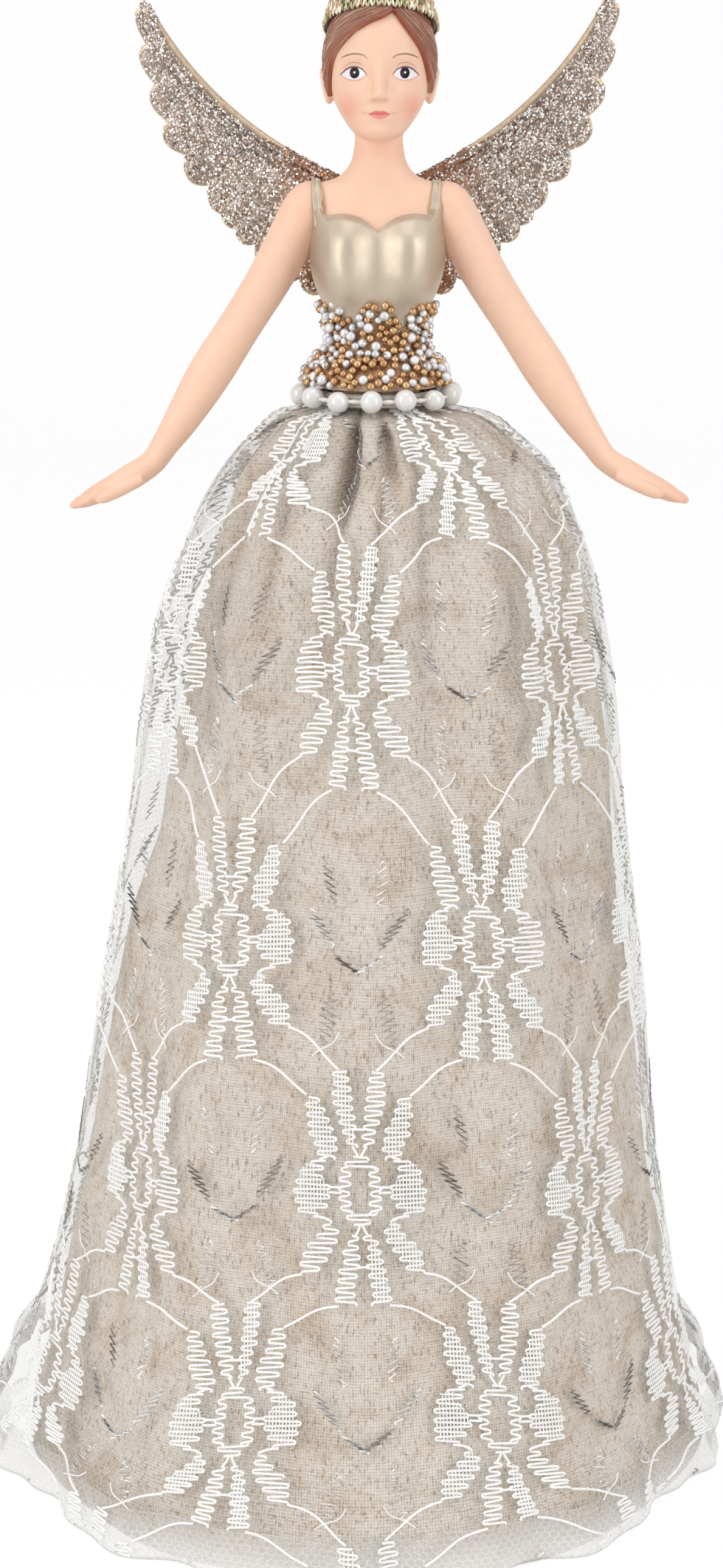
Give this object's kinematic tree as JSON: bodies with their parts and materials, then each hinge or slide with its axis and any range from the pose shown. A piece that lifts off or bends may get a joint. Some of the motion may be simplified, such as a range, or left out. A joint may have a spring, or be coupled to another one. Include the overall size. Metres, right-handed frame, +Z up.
{
  "type": "fairy tree topper",
  "caption": "Winged fairy half doll on a card cone with a gathered velvet skirt, embroidered net overlay, beaded waist and pearl belt, for the top of a tree.",
  "frame": {"origin": "centre of the skirt cone's foot, on the surface it stands on", "axes": "+Z up along the cone, the face towards -Y, +X towards the fairy's left hand"},
  "size_m": [0.1566, 0.1589, 0.2991],
  "materials": {
    "skin_paint": "satin",
    "hair_paint": "satin",
    "champagne_paint": "metallic satin",
    "wing_glitter": "glitter",
    "metallic_yarn": "metallic",
    "beads": "polished",
    "pearls": "pearl",
    "elastic": "matt",
    "velvet": "crushed pile",
    "net": "embroidered net",
    "wadding": "matt",
    "card": "matt",
    "plug_wood": "bare"
  },
  "bodies": {
    "root": {"bust_casting": "skin_paint", "hair_cap": "hair_paint", "crown_band": "metallic_yarn", "bodice_shell": "champagne_paint", "arm_left": "skin_paint", "arm_right": "skin_paint", "wing_left": "wing_glitter", "wing_right": "wing_glitter", "waist_bead_band": "beads", "pearl_belt": "pearls", "gathering_elastic": "elastic", "velvet_skirt": "velvet", "lace_overlay": "net", "skirt_wadding": "wadding", "skirt_cone": "card", "cone_plug": "plug_wood"}
  },
  "joints": []
}
